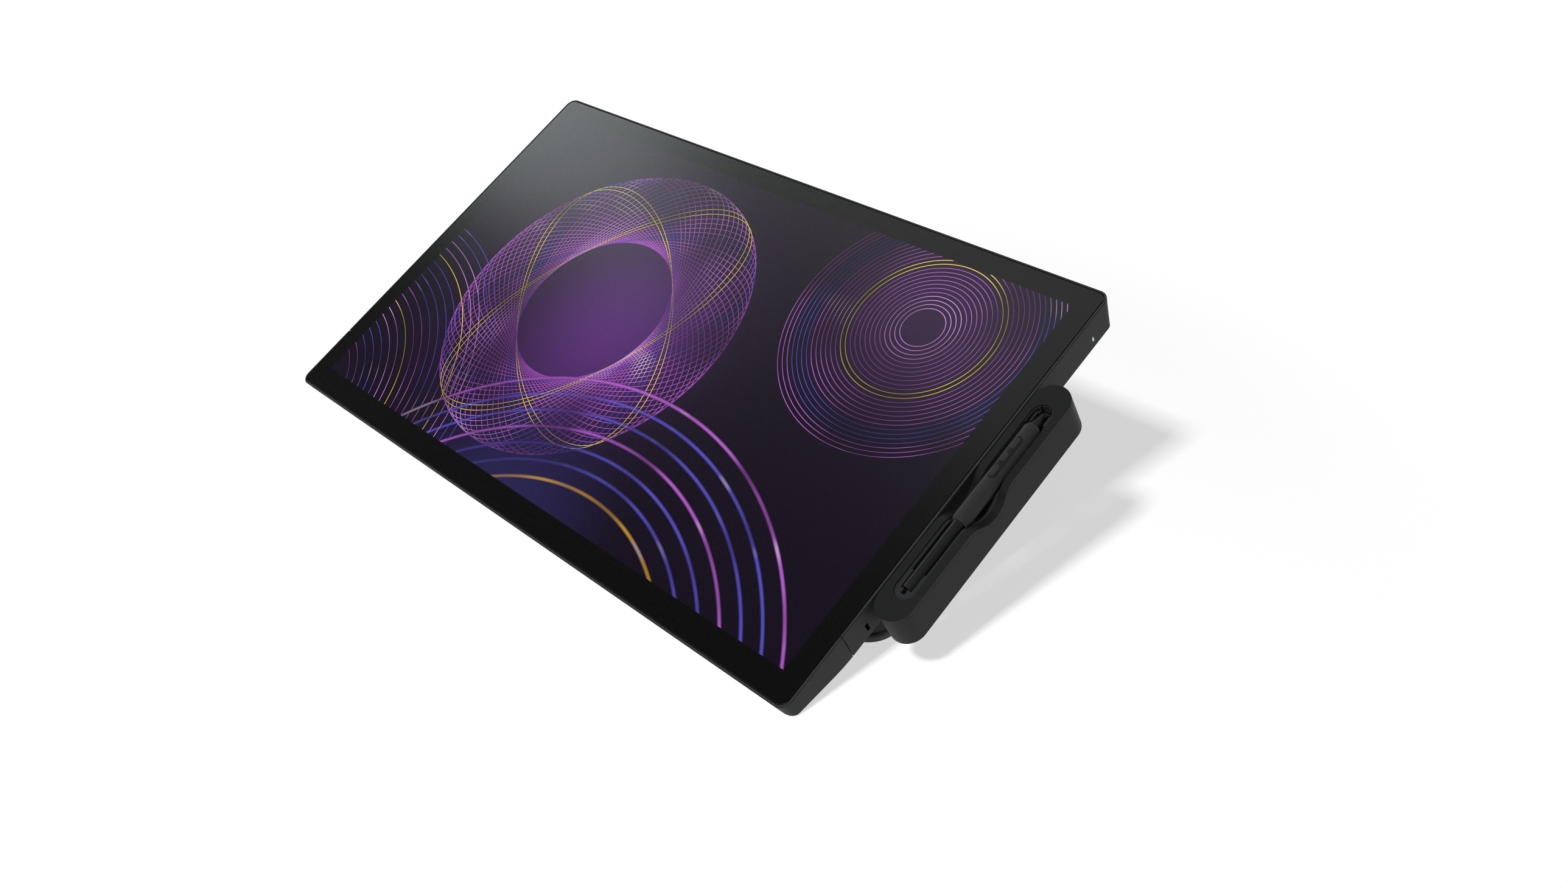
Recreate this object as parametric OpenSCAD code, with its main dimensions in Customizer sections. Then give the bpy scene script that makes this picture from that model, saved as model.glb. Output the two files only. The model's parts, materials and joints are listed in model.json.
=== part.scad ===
// Pen display on a two-hinge desk stand, with a clip-on pen tray and a pen.
// Millimetres, +Z up, desk at z = 0, origin on the desk under the base hinge.

/* [Housing] */
// Width across the top edge of the housing
panel_w = 638; // [610:1:670]
// Length from the front edge to the far edge
panel_d = 379; // [360:1:400]
// Thickness of the housing
panel_t = 31; // [30:0.5:36]
// Inward lean of the walls over the full thickness
wall_draft = 4; // [2:0.5:5]
// Plan radius of the housing corners
corner_r = 9; // [7:0.5:14]
// Shell wall thickness
wall = 2.4; // [2:0.1:3]
// Width of the rim left around the glass pocket
rim = 1.7; // [1:0.1:2.4]
// Chamfer on the outer edge of the rim
rim_chamfer = 0.6; // [0.2:0.1:0.8]
// Length of the separate front cover
front_len = 62.8; // [58:0.2:70]
// Distance from the front edge at which the underside begins to rise
taper_run = 54.5; // [45:0.5:56]
// Rise angle of the tapered underside
taper_angle = 13.8; // [10:0.2:16]
// Radius of the rounded front nose
nose_r = 8; // [6:0.5:10]
// Radius that blends the flat underside into the taper
taper_blend_r = 100; // [60:5:120]
// Gap between the front cover and the rear cover
cover_seam = 0.6; // [0.4:0.05:0.8]
// Gap around inserts and between tray pieces
seam = 0.3; // [0.2:0.05:0.5]

/* [Screen] */
// Border from housing side to the lit area
bezel_x = 20.65; // [18:0.05:26]
// Mean border from housing front and far edge to the lit area
bezel_y = 21.7; // [18:0.05:26]
// Distance of the lit area's middle behind the middle of the housing
screen_shift = 1.6; // [0:0.1:3]
// Cover glass thickness
glass_t = 1.8; // [1.4:0.1:2.4]
// Gap between glass edge and rim
glass_gap = 0.5; // [0.2:0.05:0.6]
// Chamfer on the upper edge of the glass
glass_chamfer = 0.4; // [0.1:0.05:0.5]
// Dead border of the liquid-crystal cell on each side
cell_border = 5.6; // [4:0.1:7]
// Thickness of the liquid-crystal cell
cell_t = 1.6; // [1.2:0.1:2]
// Thickness of the light panel
backlight_t = 5; // [4:0.1:5.6]
// Thickness of the pen sensor board
sensor_t = 1.2; // [0.8:0.1:1.6]
// Thickness of the shield sheet
shield_t = 0.8; // [0.5:0.1:1]
// Thickness of the chassis plate
chassis_t = 1.5; // [1.2:0.1:2]

/* [Stand] */
// Screen angle above the desk
tilt = 30.6; // [24:0.1:40]
// Distance between the two hinge axes
arm_len = 190; // [180:1:200]
// Height of the base hinge axis above the desk
hinge_h = 26; // [25.6:0.2:30]
// Distance of the head hinge axis behind the housing back
head_drop = 22; // [21:0.5:28]
// Height of the front nose above the desk
nose_gap = 0.8; // [0.4:0.1:3]
// Thickness of the base casting
base_t = 7; // [6:0.5:9]
// Standing height of the rubber feet below the casting
foot_h = 1.6; // [1:0.1:2.5]
// Distance from base hinge to the middle of the front bar
bar_reach = 255.6; // [240:1:265]
// Distance from the middle to each round end of the front bar
bar_half = 280; // [240:1:285]
// Radius of the round ends of the front bar
bar_r = 24.2; // [20:0.2:28]
// Radius of both hinge pins
pin_r = 5; // [4:0.1:6]
// Outer radius of the arm knuckles
knuckle_r = 12; // [10:0.2:12.4]
// Half width of the arm knuckles
knuckle_half = 56; // [50:0.5:60]
// Thickness of the hinge lugs
lug_t = 12; // [9:0.5:14]
// Radial running clearance of the hinge pins
pin_clear = 0.05; // [0.03:0.01:0.1]
// Hole spacing of the back plate screws
vesa = 100; // [100:1:102]

/* [Pen tray] */
// Width of the tray
tray_w = 29; // [28:0.2:33]
// Length of the tray
tray_len = 208.6; // [204:0.2:220]
// Depth of the tray
tray_depth = 32; // [30:0.5:35]
// Gap between tray and housing side
tray_gap = 0.8; // [0.3:0.1:1]
// Thickness of the tray top plate
tray_top_t = 3.2; // [2.6:0.1:3.8]
// Wall thickness of the tray
tray_wall = 2; // [1.6:0.1:2.2]
// Depth of the finger dip
dip_depth = 12; // [9:0.5:13]
// Half length of the finger dip
dip_half = 27; // [24:0.5:30]
// Width of the pen pocket
pocket_w = 16.8; // [16:0.1:18]
// Length of the pen pocket
pocket_len = 173; // [171:0.5:177]

/* [Pen] */
// Pen length from nib to tail
pen_len = 160.4; // [158:0.2:162]
// Grip radius at its middle
grip_r = 6.2; // [5.9:0.05:6.4]
// Grip radius at the flared rear end
flare_r = 6.55; // [6.4:0.05:6.8]
// Distance from nib tip to the front of the grip
grip_start = 14.5; // [13:0.1:16]
// Distance from nib tip to the rear end of the grip
grip_end = 101.6; // [98:0.1:104]
// Radius of the rear shaft
shaft_r = 4.35; // [4:0.05:4.6]
// Height of the pen axis relative to the glass
pen_z = -3; // [-3.4:0.1:-2.6]
// Raised height of the button plate over the grip
plate_rise = 0.5; // [0.3:0.05:0.7]
// Raised height of the side buttons over their plate
button_rise = 0.4; // [0.3:0.05:0.6]

/* [Keys] */
// Length of a rear key
key_len = 16; // [13:0.5:18]
// Width of a rear key
key_wid = 9; // [7:0.5:11]
// Spacing of the rear keys
key_pitch = 24; // [22:0.5:28]
// Distance of the key column from the housing side
key_inset = 34; // [30:0.5:40]
// How far the rear keys stand out of the back
key_rise = 1.2; // [0.8:0.1:1.6]
// Clearance around keys and buttons
key_clear = 0.25; // [0.2:0.05:0.4]

/* [Hidden] */
$fn = 64;
eps = 0.01;
half_w = panel_w / 2;
half_d = panel_d / 2;
active_w = panel_w - 2 * bezel_x;
active_d = panel_d - 2 * bezel_y;
cell_w = active_w + 2 * cell_border;
cell_d = active_d + 2 * cell_border;
draft_k = wall_draft / panel_t;
draft_a = atan(draft_k);
seam_y = -half_d + front_len;
taper_y = -half_d + taper_run;
cell_z = -glass_t;
backlight_z = cell_z - cell_t;
sensor_z = backlight_z - backlight_t;
shield_z = sensor_z - sensor_t;
chassis_z = shield_z - shield_t;
deck_z = chassis_z - chassis_t;
floor_z = -panel_t + wall;
wall_x = wall / cos(draft_a);
rim_lean = draft_k * rim_chamfer;
corner_half = (half_w + half_d - 2 * corner_r) / sqrt(2) + corner_r;
pocket_t = glass_t + 0.2;
glass_w = panel_w - 2 * (rim + glass_gap);
glass_d = panel_d - 2 * (rim + glass_gap);
glass_r = corner_r - rim - glass_gap;
frame_gap = 0.45;
frame_in = wall - draft_k * deck_z + frame_gap;
frame_w = panel_w - 2 * frame_in;
frame_d = panel_d - 2 * frame_in;
frame_r = corner_r - frame_in;
board_z = deck_z - 3;
board_t = 1.6;
board_low = board_z - board_t;
key_board_z = -panel_t + 7.4;

// Front nose: a circle touching the leaning front wall and the rising underside
nw = [cos(draft_a), sin(draft_a)];
nt = [sin(taper_angle), cos(taper_angle)];
kw = nose_r - half_d * nw[0];
kt = nose_r + taper_y * nt[0] - panel_t * nt[1];
nose_det = cos(draft_a + taper_angle);
nose_y = (kw * nt[1] - nw[1] * kt) / nose_det;
nose_z = (nw[0] * kt - nt[0] * kw) / nose_det;
low_y = nose_y - nose_r * sin(tilt);
low_z = nose_z - nose_r * cos(tilt);

// Stand geometry from the screen angle and the nose height
head_z = -panel_t - head_drop;
disp_z = nose_gap - low_y * sin(tilt) - low_z * cos(tilt);
head_h = disp_z + head_z * cos(tilt);
head_y = -sqrt(arm_len * arm_len - (head_h - hinge_h) * (head_h - hinge_h));
disp_y = head_y + head_z * sin(tilt);
arm_angle = asin((head_h - hinge_h) / arm_len);
base_top = foot_h + base_t;
rear_half = 150;
rear_r = 30;
spine_half = 80;
window_w = 90;
window_d = 130;
window_r = 14;
foot_r = 9;
foot_seat = 0.6;
foot_in = 90;
foot_spots = [[-bar_half, -bar_reach], [bar_half, -bar_reach], [-foot_in, -bar_reach],
  [foot_in, -bar_reach], [-rear_half, 0], [rear_half, 0], [0, 0]];
lug_in = knuckle_half + 2;
lug_r = 12;
plate_t = 4;
plate_w = vesa + 60;
plate_d = vesa + 24;
plate_r = 8;
bracket_w = 2 * (lug_in + lug_t) + 10;
bracket_d = 2 * lug_r + 26;
bracket_screw = [bracket_w / 2 - 35, bracket_d / 2 - 8];
arm_half_t = 8;
arm_chamfer = 1.5;
arm_window_w = 50;
arm_window_d = arm_len - 90;
arm_hollow_w = 2 * knuckle_half - 14;
arm_hollow_d = arm_len - 50;

// Pen tray and pen places in the display frame
tray_x = half_w + tray_gap + tray_w / 2;
tray_y = 2.1;
dip_r = (dip_half * dip_half + dip_depth * dip_depth) / (4 * dip_depth);
dip_a = 2 * atan(dip_depth / dip_half);
pocket_r = pocket_w / 2;
liner_gap = 0.15;
liner_bottom = -14;
tip_y = tray_y + pocket_len / 2 - 3.6;
nib_y = tray_y - tray_len * 0.3;
nib_pitch = 4;
nib_len = 24;
nib_z = -tray_depth + 5;
channel_r = pocket_r - 0.35;
channel_lift = 1.2;
tail_stop = 14;
well_post_x = 5.6;
tray_floor_t = 1.9;
bore_r = 4;
plate_u0 = 27.8;
plate_u1 = 64.9;
plate_half = 3.2;
button_u = [34.4, 46.7, 58.8];
button_len = [9.6, 7.4, 9.6];
button_half = 2.1;
stem_low = 3;
pen_board_y = 1;

key_x = half_w - key_inset;
key_y = [96, 96 - key_pitch, 96 - 2 * key_pitch, 96 - 3 * key_pitch];
post_x = half_w - 16;
rear_posts = [[-post_x, 160], [0, 168], [post_x, 160], [-post_x, -8], [post_x, -8],
  [-post_x, -112], [post_x, -112], [0, -112]];
front_post_y = seam_y - 20;
front_posts = [[-230, front_post_y], [0, front_post_y], [230, front_post_y]];
post_r = 4;
front_floor_z = floor_z + (taper_y - front_post_y) * tan(taper_angle);
front_head_z = front_floor_z + 3;
rear_head_z = -panel_t + 2.2;
fan_x = 150;
fan_y = 92;
fan_half = 32;
fan_t = 11;
fan_z = deck_z - 1;
grille_x = 150;
grille_y = 150;
grille_w = 160;
grille_d = 34;
grille_pitch = 6;
grille_slots = floor((grille_w - 10) / grille_pitch) + 1;
port_x = 150;
port_y = -62;
port_w = 140;
port_d = 36;
port_roof = -16;
port_wall = 2;
port_mid = -21.5;
// Each socket in the recess: distance from the block middle, opening width, opening height
recess_sockets = [[-56, 8.6, 3], [-38, 8.6, 3], [-16, 14, 4.8], [8, 8, 5], [32, 13.2, 5.8], [56, 8.6, 3]];
// Each round socket in the far edge: distance from the block middle, bore diameter
edge_sockets = [[-12, 3.5], [12, 6.4]];
edge_x = -232;
edge_z = -19;
edge_w = 44;
edge_half = 5;
edge_bore = 12.3;
edge_nose = 0.9;
edge_face = half_d + draft_k * (edge_z - edge_half) - 0.3;
edge_back = edge_face - wall_x;
board_y = -7;
main_w = port_w + 30;
main_d = 104;
power_w = main_w - 20;
power_d = main_d - 8;
sink_w = 60;
sink_d = 56;
// Chips: distance from the board middle, width, depth, height; the heat sink sits on the first
main_chips = [[0, 9, 34, 34, 2], [-55, 22, 26, 30, 3], [55, 17, 30, 22, 2.4]];
power_parts = [[-30, 17, 34, 28, 7], [35, 19, 26, 20, 6]];
hook_y = [-58, 58];
hook_z = -21;
hook_w = 12;
hook_t = 1.6;
lock_y = -106.8;
lock_z = -20.5;
lock_w = 3;
lock_h = 9;
led_y = 162;
led_z = -21.4;
led_len = 4.4;
led_wid = 1.6;
power_x = 250;
power_len = 14;
power_wid = 4.4;
touch_x = 214;
touch_len = 4.4;
touch_wid = 2.8;
touch_travel = 4;
side_z = -17;

c_shell = [0.20, 0.205, 0.21];
c_dark = [0.11, 0.11, 0.115];
c_black = [0.03, 0.03, 0.035];
c_metal = [0.62, 0.63, 0.65];
c_steel = [0.45, 0.46, 0.48];
c_board = [0.07, 0.22, 0.14];
c_rubber = [0.06, 0.06, 0.06];
c_pen = [0.17, 0.175, 0.18];

// Shared shapes

module display_pose() {
  translate([0, disp_y, disp_z]) rotate([tilt, 0, 0]) children();
}

module screen_pose() {
  display_pose() translate([0, screen_shift, 0]) children();
}

module arm_pose() {
  translate([0, 0, hinge_h]) rotate([-arm_angle, 0, 0]) children();
}

module pen_pose() {
  display_pose() translate([tray_x, tip_y, pen_z]) rotate([90, 0, 0]) children();
}

module rounded_rect(w, d, r) {
  square([w - 2 * r, d], center = true);
  square([w, d - 2 * r], center = true);
  for (i = [-1, 1], j = [-1, 1]) translate([i * (w / 2 - r), j * (d / 2 - r)]) circle(r);
}

module slab(w, d, r, z0, z1) {
  translate([0, 0, z0]) linear_extrude(z1 - z0) rounded_rect(w, d, r);
}

module block(w, d, z0, z1) {
  translate([-w / 2, -d / 2, z0]) cube([w, d, z1 - z0]);
}

module capsule(len, wid) {
  square([len - wid, wid], center = true);
  for (i = [-1, 1]) translate([i * (len - wid) / 2, 0]) circle(wid / 2);
}

module x_prism(len) {
  rotate([90, 0, 90]) translate([0, 0, -len / 2]) linear_extrude(len) children();
}

module y_prism(len) {
  rotate([90, 0, 0]) translate([0, 0, -len / 2]) linear_extrude(len) children();
}

// Rounded block whose outline (w, d, r) at z_top moves inward by inset at z_low
module leaning_block(w, d, r, z_top, z_low, inset) {
  y_prism(d - 2 * r)
    polygon([[-w / 2, z_top], [w / 2, z_top], [w / 2 - inset, z_low], [-w / 2 + inset, z_low]]);
  x_prism(w - 2 * r)
    polygon([[-d / 2, z_top], [d / 2, z_top], [d / 2 - inset, z_low], [-d / 2 + inset, z_low]]);
  for (i = [-1, 1], j = [-1, 1])
    translate([i * (w / 2 - r), j * (d / 2 - r), z_low])
      cylinder(h = z_top - z_low, r1 = r - inset, r2 = r);
}

// Points on a circle of radius r about c, from angle a0 to angle a1 in n steps
function arc(c, r, a0, a1, n) = [for (i = [0:n]) let (a = a0 + (a1 - a0) * i / n) c + r * [cos(a), sin(a)]];

// Underside of the housing from its flat part to the front wall, moved inward by off
function underside(off) = concat(
  arc([taper_y + taper_blend_r * tan(taper_angle / 2), -panel_t + taper_blend_r], taper_blend_r - off,
    270, 270 - taper_angle, 6),
  arc([nose_y, nose_z], nose_r - off, 270 - taper_angle, 180 + draft_a, 12));

module housing_block() {
  low = underside(0);
  nose_end = low[len(low) - 1];
  nose_lip = nose_end + 3 * (nose_end - low[len(low) - 2]);
  intersection() {
    union() {
      leaning_block(panel_w - 2 * rim_lean, panel_d - 2 * rim_lean, corner_r - rim_lean,
        -rim_chamfer, -panel_t, wall_draft - rim_lean);
      leaning_block(panel_w - 2 * rim_chamfer, panel_d - 2 * rim_chamfer, corner_r - rim_chamfer,
        0, -rim_chamfer, rim_lean - rim_chamfer);
    }
    x_prism(panel_w + 10) polygon(concat(
      [[-half_d - 6, 6], [half_d + 6, 6], [half_d + 6, -panel_t]], low,
      [nose_lip, [-half_d - 6, nose_lip[1]]]));
  }
}

// Leaning walls at a distance half from the middle
module leaning_view(half) {
  low = -panel_t - 1;
  polygon([[-half, 0], [half, 0], [half + draft_k * low, low], [-half - draft_k * low, low]]);
}

module housing_cavity() {
  slab(panel_w - 2 * rim, panel_d - 2 * rim, corner_r - rim, -pocket_t, 3);
  intersection() {
    x_prism(panel_w) polygon(concat(
      [[-half_d + wall_x, 0], [half_d - wall_x, 0], [half_d - wall_x + draft_k * floor_z, floor_z]],
      underside(wall)));
    y_prism(panel_d) leaning_view(half_w - wall_x);
    rotate([0, 0, 45]) y_prism(panel_w + panel_d) leaning_view(corner_half - wall_x);
    rotate([0, 0, -45]) y_prism(panel_w + panel_d) leaning_view(corner_half - wall_x);
  }
}

module screw_post(p, z_low) {
  translate([p[0], p[1], z_low]) cylinder(h = deck_z - z_low, r = post_r);
}

module screw_cut(p, z_head) {
  translate([p[0], p[1], -panel_t - 1]) cylinder(h = panel_t + deck_z + 2, r = 1.7);
  translate([p[0], p[1], -panel_t - 1]) cylinder(h = z_head + panel_t + 1, r = 3.2);
}

module cover_screw(p, z_head) {
  translate([p[0], p[1], z_head]) cylinder(h = chassis_z - 0.2 - z_head, r = 1.5);
  difference() {
    translate([p[0], p[1], z_head - 1.6]) cylinder(h = 1.6, r = 2.8);
    translate([p[0], p[1], z_head - 1.7]) cylinder(h = 1, r = 1.25, $fn = 6);
  }
}

// Display pieces

module cover_glass() {
  color(c_black) display_pose() {
    slab(glass_w, glass_d, glass_r, -glass_t, -glass_chamfer);
    leaning_block(glass_w - 2 * glass_chamfer, glass_d - 2 * glass_chamfer, glass_r - glass_chamfer,
      0, -glass_chamfer, -glass_chamfer);
  }
}

module lcd_cell() {
  color([0.17, 0.10, 0.21]) screen_pose() block(cell_w, cell_d, backlight_z, cell_z);
}

module light_panel() {
  color([0.85, 0.86, 0.88]) screen_pose() block(cell_w, cell_d, sensor_z, backlight_z);
}

module sensor_board() {
  color(c_board) screen_pose() block(cell_w - 2, cell_d - 2, shield_z, sensor_z);
}

module shield_sheet() {
  color(c_metal) screen_pose() block(cell_w - 2, cell_d - 2, chassis_z, shield_z);
}

module standoff(x, y, z_low) {
  translate([x, y, z_low]) cylinder(h = deck_z - z_low + eps, r = 3);
}

module chassis_tray() {
  color(c_metal) display_pose() difference() {
    union() {
      difference() {
        slab(frame_w, frame_d, frame_r, deck_z, -glass_t);
        translate([0, screen_shift, 0]) block(cell_w + 0.8, cell_d + 0.8, chassis_z, 1);
      }
      for (i = [-1, 1], j = [-1, 1]) {
        standoff(port_x + i * (main_w / 2 - 7), board_y + j * (main_d / 2 - 8), board_z);
        standoff(-port_x + i * (power_w / 2 - 7), board_y + j * (power_d / 2 - 8), board_z);
      }
      for (s = [-1, 1], j = [-1, 1])
        standoff(s * key_x, key_y[1] - key_pitch / 2 + j * key_pitch * 1.9, key_board_z);
      for (i = [-1, 1]) translate([power_x - 18 + i * 14, half_d - 16.4, deck_z - 9])
        block(6, 3, 0, 9 + eps);
    }
    for (p = concat(rear_posts, front_posts)) translate([p[0], p[1], deck_z - 1])
      cylinder(h = 3, r = 1.55);
  }
}

module rear_cover() {
  color(c_shell) display_pose() difference() {
    union() {
      difference() {
        intersection() {
          housing_block();
          translate([-half_w - 5, seam_y + cover_seam / 2, -panel_t - 5])
            cube([panel_w + 10, panel_d, panel_t + 10]);
        }
        housing_cavity();
      }
      for (p = rear_posts) screw_post(p, floor_z - eps);
      for (i = [-1, 1], j = [-1, 1]) translate([i * vesa / 2, j * vesa / 2, floor_z - eps])
        cylinder(h = 8, r = 6);
      translate([port_x, port_y - port_d / 2 - port_wall, 0])
        block(port_w + 2 * port_wall, port_d + 2 * port_wall, floor_z - eps, port_roof + port_wall);
    }
    for (p = rear_posts) screw_cut(p, rear_head_z);
    for (i = [-1, 1], j = [-1, 1]) translate([i * vesa / 2, j * vesa / 2, -panel_t - 1])
      cylinder(h = 9.5, r = 2.05);
    translate([port_x, port_y - port_d / 2 - port_wall, 0])
      block(port_w, port_d, -panel_t - 1, port_roof);
    for (s = recess_sockets) translate([port_x + s[0], port_y, port_mid])
      block(s[1] + 2.4, 8, -s[2] / 2 - 1.2, s[2] / 2 + 1.2);
    for (s = edge_sockets) translate([edge_x + s[0], half_d, edge_z]) rotate([90, 0, 0])
      translate([0, 0, -5]) cylinder(h = 15, r = s[1] / 2 + edge_nose + 0.2);
    for (s = [-1, 1]) translate([s * grille_x, grille_y, 0])
      block(grille_w, grille_d, -panel_t - 1, floor_z + 1);
    for (s = [-1, 1], y = key_y) translate([s * key_x, y, -panel_t - 1]) linear_extrude(wall + 2)
      capsule(key_len + 2 * key_clear, key_wid + 2 * key_clear);
    for (s = [-1, 1], y = hook_y) translate([s * (half_w - 3), y, hook_z])
      block(12, hook_w + 1, -hook_t / 2 - seam, hook_t / 2 + seam);
    translate([half_w - 3, lock_y, lock_z]) block(12, lock_w, -lock_h / 2, lock_h / 2);
    translate([half_w - 3, led_y, led_z]) rotate([0, 90, 0]) translate([0, 0, -6]) linear_extrude(12)
      capsule(led_len + 2 * seam, led_wid + 2 * seam);
    translate([power_x, half_d - 3, side_z]) rotate([90, 0, 0]) translate([0, 0, -6]) linear_extrude(12)
      capsule(power_len + 2 * key_clear, power_wid + 2 * key_clear);
    translate([touch_x, half_d - 3, side_z]) rotate([90, 0, 0]) translate([0, 0, -6]) linear_extrude(12)
      capsule(touch_len + touch_travel + 2 * seam, touch_wid + 2 * seam);
  }
}

module front_cover() {
  color(c_shell) display_pose() difference() {
    union() {
      difference() {
        intersection() {
          housing_block();
          translate([-half_w - 5, seam_y - cover_seam / 2 - panel_d, -panel_t - 5])
            cube([panel_w + 10, panel_d, panel_t + 10]);
        }
        housing_cavity();
      }
      for (p = front_posts) screw_post(p, front_floor_z - post_r * tan(taper_angle) - 0.6);
    }
    for (p = front_posts) screw_cut(p, front_head_z);
  }
}

module main_board() {
  color(c_board) display_pose() {
    translate([port_x, board_y, 0]) block(main_w, main_d, board_low, board_z);
    for (c = main_chips) translate([port_x + c[0], board_y + c[1], 0])
      block(c[2], c[3], board_low - c[4], board_low);
  }
}

module power_board() {
  color(c_board) display_pose() {
    translate([-port_x, board_y, 0]) block(power_w, power_d, board_low, board_z);
    for (c = power_parts) translate([-port_x + c[0], board_y + c[1], 0])
      block(c[2], c[3], board_low - c[4], board_low);
    for (i = [0:2]) translate([-port_x + 18 + 14 * i, board_y - 23, board_low - 7])
      cylinder(h = 7, r = 5);
  }
}

module heat_sink() {
  chip = main_chips[0];
  color(c_metal) display_pose() translate([port_x + chip[0], board_y + chip[1], board_low - chip[4]]) {
    block(sink_w, sink_d, -2, 0);
    for (i = [0:11]) translate([(i - 5.5) * sink_w / 12, 0, 0]) block(1.4, sink_d, -6, -2 + eps);
  }
}

module fan_case(s) {
  color(c_dark) display_pose() translate([s * fan_x, fan_y, fan_z]) {
    difference() {
      block(2 * fan_half, 2 * fan_half, -fan_t, 0);
      translate([0, 0, -fan_t + 1.2]) cylinder(h = fan_t - 2.4, r = fan_half - 3);
      translate([0, 0, -fan_t - 1]) cylinder(h = 4, r = 19);
      translate([0, fan_half / 2, 0]) block(2 * fan_half - 6, fan_half + 2, -fan_t + 1.2, -1.2);
    }
    translate([0, 0, -fan_t + 2]) cylinder(h = fan_t - 2, r = 1.5);
    for (i = [-1, 1], j = [-1, 1])
      translate([i * (fan_half - 5), j * (fan_half - 5), -eps]) cylinder(h = deck_z - fan_z + eps, r = 2.5);
  }
}

module fan_rotor(s) {
  color(c_black) display_pose() translate([s * fan_x, fan_y, fan_z - fan_t + 2]) difference() {
    union() {
      cylinder(h = fan_t - 4, r = 10);
      for (i = [0:10]) rotate([0, 0, i * 360 / 11]) translate([9, -0.7, 0.4]) cube([16, 1.4, fan_t - 5]);
    }
    translate([0, 0, -1]) cylinder(h = fan_t, r = 1.5 + pin_clear);
  }
}

module vent_grille(s) {
  color(c_dark) display_pose() translate([s * grille_x, grille_y, 0]) difference() {
    union() {
      block(grille_w - 2 * seam, grille_d - 2 * seam, -panel_t + 0.2, floor_z);
      block(grille_w + 6, grille_d + 6, floor_z, floor_z + 1);
    }
    for (i = [0:grille_slots - 1]) translate([(i - (grille_slots - 1) / 2) * grille_pitch, 0, -panel_t - 1])
      linear_extrude(wall + 4) rotate(90) capsule(grille_d - 8, 2.6);
  }
}

// Sockets in the recess of the back, on the edge of the main board
module recess_block() {
  translate([port_x, port_y, port_mid]) difference() {
    union() {
      translate([0, 7.8, 0]) block(port_w - 6, 13, -5, board_low - port_mid);
      for (s = recess_sockets) translate([s[0], 0.5, 0])
        block(s[1] + 2, 3.6, -(s[2] + 2) / 2, (s[2] + 2) / 2);
    }
    for (s = recess_sockets) translate([s[0], 8, 0]) {
      if (s[2] > 4) rotate([90, 0, 0]) linear_extrude(12) square([s[1], s[2]], center = true);
      else rotate([90, 0, 0]) linear_extrude(12) capsule(s[1], s[2]);
    }
  }
}

// Round sockets in the far edge, under the chassis plate
module edge_block() {
  translate([edge_x, edge_face, edge_z]) difference() {
    union() {
      translate([0, edge_back - edge_face - edge_bore / 2, 0])
        block(edge_w, edge_bore, -edge_half, deck_z - edge_z);
      for (s = edge_sockets) translate([s[0], 0, 0]) rotate([90, 0, 0])
        cylinder(h = wall_x + 1, r = s[1] / 2 + edge_nose);
    }
    for (s = edge_sockets) translate([s[0], 1, 0]) rotate([90, 0, 0])
      cylinder(h = edge_bore + 1, r = s[1] / 2);
  }
}

module port_block() {
  color(c_steel) display_pose() {
    recess_block();
    edge_block();
  }
}

module key_board(s) {
  color(c_board) display_pose() {
    translate([s * key_x, key_y[1] - key_pitch / 2, 0])
      block(14, key_pitch * 3 + 34, key_board_z - 1.2, key_board_z);
    for (y = key_y) translate([s * key_x, y, key_board_z - 2.4]) cylinder(h = 1.3, r = 2.4);
  }
}

module rear_key(s, y) {
  color(c_dark) display_pose() translate([s * key_x, y, 0]) {
    translate([0, 0, -panel_t - key_rise]) linear_extrude(wall + key_rise + 0.2) capsule(key_len, key_wid);
    translate([0, 0, floor_z + 0.15]) linear_extrude(1) capsule(key_len + 2.4, key_wid + 2.4);
  }
}

module power_button() {
  color(c_dark) display_pose() translate([power_x, 0, side_z]) {
    translate([0, half_d - 1.6, 0]) rotate([90, 0, 0]) linear_extrude(6) capsule(power_len, power_wid);
    translate([0, half_d - 6.6, 0]) rotate([90, 0, 0]) linear_extrude(1)
      capsule(power_len + 3, power_wid + 2.6);
  }
}

module touch_switch() {
  color(c_dark) display_pose() translate([touch_x - touch_travel / 2, 0, side_z]) {
    translate([0, half_d - 1.8, 0]) rotate([90, 0, 0]) linear_extrude(5.8) capsule(touch_len, touch_wid);
    translate([0, half_d - 6.6, 0]) rotate([90, 0, 0]) linear_extrude(1)
      capsule(touch_len + 4.6, touch_wid + 3.2);
  }
}

module switch_board() {
  color(c_board) display_pose() {
    translate([power_x - 18, half_d - 13.4, 0]) block(56, 3, side_z - 4, deck_z - 0.6);
    translate([power_x, half_d - 10.5, 0]) block(6, 3, side_z - 2, side_z + 2);
  }
}

module status_light() {
  color([0.95, 0.96, 1]) display_pose() translate([half_w - 6, led_y, led_z]) rotate([0, 90, 0])
    linear_extrude(6 + draft_k * (led_z + 0.8)) capsule(led_len, led_wid);
}

module cover_screws() {
  color(c_steel) display_pose() {
    for (p = rear_posts) cover_screw(p, rear_head_z);
    for (p = front_posts) cover_screw(p, front_head_z);
  }
}

// Stand pieces

// Edge of the base castings from bottom to top: how far in, how far from the bottom or top
low_edge = 1;
edge_mid = [1, 1];
edge_top = [3, 2.4];

// Straight bar with round ends and chamfered edges, lying along X
module soft_bar(half, r, z0, z1) {
  bar_layer(half, r - low_edge, r, z0, z0 + low_edge);
  bar_layer(half, r, r, z0 + low_edge, z1 - edge_top[1]);
  bar_layer(half, r, r - edge_mid[0], z1 - edge_top[1], z1 - edge_mid[1]);
  bar_layer(half, r - edge_mid[0], r - edge_top[0], z1 - edge_mid[1], z1);
}

// The same edge on a bar's cross-section
module soft_section(half, z0, z1) {
  right = [[half - low_edge, z0], [half, z0 + low_edge], [half, z1 - edge_top[1]],
    [half - edge_mid[0], z1 - edge_mid[1]], [half - edge_top[0], z1]];
  polygon(concat(right, [for (i = [len(right) - 1:-1:0]) [-right[i][0], right[i][1]]]));
}

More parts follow.
